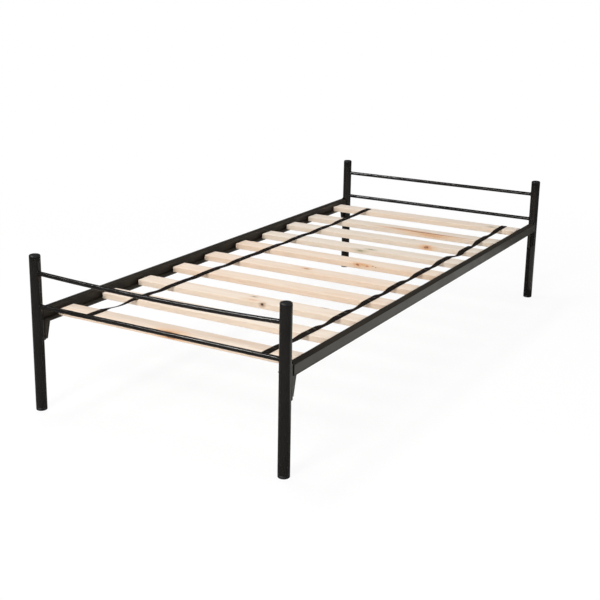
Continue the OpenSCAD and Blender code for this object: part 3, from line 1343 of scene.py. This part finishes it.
def pine_slats() -> tuple[Slat, ...]:
    """The ten slats from the foot, each with its own tone, rings and knots."""
    front = -0.0355
    red, dark, grey, flame = KnotKind
    return (
        Slat(1, Tone.WARM, (0.0, 0.012, 0.034), 0.0048, 0.42, (
            Knot(flame, 0.004, front + 0.008, 0.004, (0.056, 0.022, 0.013)),
            Knot(red, 0.012, front, 0.012, (0.034, 0.007, 0.006), 0.85),
            Knot(red, -0.010, front + 0.012, 0.0, (0.030, 0.005, 0.004), 0.5),
        )),
        Slat(2, Tone.PALE, (3.1, -0.02, 0.041), 0.0052, 0.32),
        Slat(3, Tone.PALE, (6.4, 0.018, 0.028), 0.0044, 0.34, (
            Knot(dark, 0.016, 0.014, 0.0, (0.012, 0.006, 0.005), 0.6),
            Knot(flame, 0.030, -0.018, 0.0, (0.034, 0.012, 0.004), 0.5),
            Knot(dark, 0.076, front, 0.003, (0.010, 0.010, 0.008)),
            Knot(dark, 0.266, 0.033, 0.0, (0.014, 0.004, 0.003), 0.8),
        )),
        Slat(4, Tone.WARM, (9.2, 0.006, 0.024), 0.0047, 0.45),
        Slat(5, Tone.WARM, (12.7, -0.014, 0.030), 0.0042, 0.45, (
            Knot(red, -0.012, 0.010, 0.0, (0.016, 0.008, 0.004), 0.85),
        )),
        Slat(6, Tone.WARM, (15.3, 0.010, 0.022), 0.0040, 0.5, (
            Knot(flame, 0.125, front + 0.004, 0.002, (0.035, 0.010, 0.007)),
            Knot(red, 0.106, front, 0.004, (0.012, 0.007, 0.007)),
            Knot(red, 0.145, front, 0.004, (0.010, 0.004, 0.004), 0.8),
            Knot(dark, 0.168, front, 0.001, (0.004, 0.003, 0.002), 0.8),
            Knot(dark, 0.180, front, 0.004, (0.003, 0.003, 0.002), 0.6),
        )),
        Slat(7, Tone.GREY, (18.8, 0.022, 0.031), 0.0046, 0.32, (
            Knot(grey, 0.055, -0.018, 0.0, (0.024, 0.010, 0.004), 0.75),
            Knot(grey, 0.020, front, 0.006, (0.024, 0.006, 0.006), 0.8),
        )),
        Slat(8, Tone.GREY, (21.5, -0.008, 0.027), 0.0045, 0.36, (
            Knot(flame, 0.212, front, 0.008, (0.030, 0.013, 0.012), 0.8),
            Knot(red, 0.208, front, 0.007, (0.017, 0.010, 0.0085)),
            Knot(dark, 0.212, front, 0.005, (0.007, 0.006, 0.004), 0.7),
            Knot(dark, 0.128, 0.034, 0.0, (0.010, 0.005, 0.003), 0.85),
        )),
        Slat(9, Tone.GREY, (24.9, 0.004, 0.020), 0.0041, 0.42, (
            Knot(flame, 0.150, front, 0.005, (0.100, 0.010, 0.010), 0.75),
            Knot(red, 0.010, -0.012, 0.0, (0.100, 0.0060, 0.004), 0.75),
            Knot(red, 0.120, -0.025, 0.0, (0.150, 0.0080, 0.004), 0.9),
            Knot(dark, 0.125, -0.026, 0.0, (0.150, 0.0050, 0.004), 0.6),
        )),
        Slat(10, Tone.PALE, (28.2, 0.016, 0.033), 0.0050, 0.32, (
            Knot(grey, 0.312, -0.010, 0.0, (0.018, 0.010, 0.004), 0.8),
        )),
    )


def strap_gaps() -> dict[Side, tuple[Gap, ...]]:
    """How each strap hangs in the nine gaps from the foot."""
    sags = (0.004, 0.004, 0.004, 0.005, 0.004, 0.005, 0.004, 0.005, 0.004)
    rolls = (-9.0, -13.0, -15.0, -12.0, -16.0, -13.0, -11.0, -17.0, -12.0)
    right = [Gap(roll, sag) for roll, sag in zip(rolls, sags)]
    right[6] = Gap(-11.0, 0.004, 0.010)
    sags = (0.003, 0.002, 0.003, 0.002, 0.003, 0.003, 0.003, 0.002)
    rolls = (-3.0, 2.0, -4.0, 3.0, -5.0, 2.0, -6.0, -4.0)
    left = [Gap(-17.0, 0.004, 0.002, 0.45), *(Gap(roll, sag) for roll, sag in zip(rolls, sags))]
    return {Side.LEFT: tuple(left), Side.RIGHT: tuple(right)}


def studio_lamps() -> tuple[Lamp, ...]:
    """Three lamps that light the bed, three that show only in its gloss, and a wall that does both."""
    return (
        Lamp("key", (0.2, -4.7, 3.9), (0.0, 0.0, 0.3), 1.2, 172.0, (1.0, 0.99, 0.975), mirrored=False),
        Lamp("fill", (3.4, -2.6, 1.3), (0.3, 0.0, 0.3), 1.6, 21.0, mirrored=False),
        Lamp("overhead", (-1.7, 0.1, 4.2), (-0.4, 0.0, 0.3), 2.2, 82.0, tall=0.8, mirrored=False),
        Lamp("strip", (-5.1, -5.4, 7.7), (0.2, -1.0, 0.4), 1.5, 450.0, tall=1.0, lit=False),
        Lamp("front_wall", (-1.5, -8.5, 3.1), (0.0, 1.0, 0.4), 3.0, 420.0, tall=2.0, lit=False),
        Lamp(
            "card", (0.95, 0.45, 0.02), (0.949, 0.45, 1.0), 2.3, 4.7, (0.985, 1.0, 0.92), tall=0.9, lit=False
        ),
        Lamp("side_wall", (4.6, 0.4, 1.4), (0.4, 0.0, 0.3), 2.4, 12.0, tall=2.0),
    )


def main() -> None:
    """Builds the bed's pieces in order over the frame."""
    logging.basicConfig(level=logging.INFO, format="%(name)s %(message)s")
    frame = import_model()
    for effect in (coat_grain, settled_dust, pine_rings, pine_knot, webbing_weave, sawn_ends):
        effect()
    shop = Shop(
        nodes=frame["nodes"],
        end_coat=PowderCoat("end_powder_coat", Slot.END_COAT),
        rail_coat=PowderCoat(
            "rail_powder_coat",
            Slot.RAIL_COAT,
            colour=(0.0225, 0.0190, 0.0150),
            patch=(0.0290, 0.0245, 0.0185),
            roughness=0.30,
            peel_height=0.00003,
        ),
        plastic=MouldedPlastic("black_moulded_plastic", Slot.PLASTIC),
        webbing=Webbing("dark_webbing", Slot.WEBBING),
        wire=StapleWire("galvanised_wire", Slot.WIRE),
    )
    for end in End:
        EndFrame(shop, end).build()
    for side, body in ((Side.LEFT, Body.LEFT), (Side.RIGHT, Body.RIGHT)):
        SideRail(shop, side, body).build()
    for slat in pine_slats():
        slat.build(shop)
    for side, gaps in strap_gaps().items():
        Strap(shop, side, gaps).build()
    Studio(studio_lamps()).build()


if __name__ == "__main__":
    main()
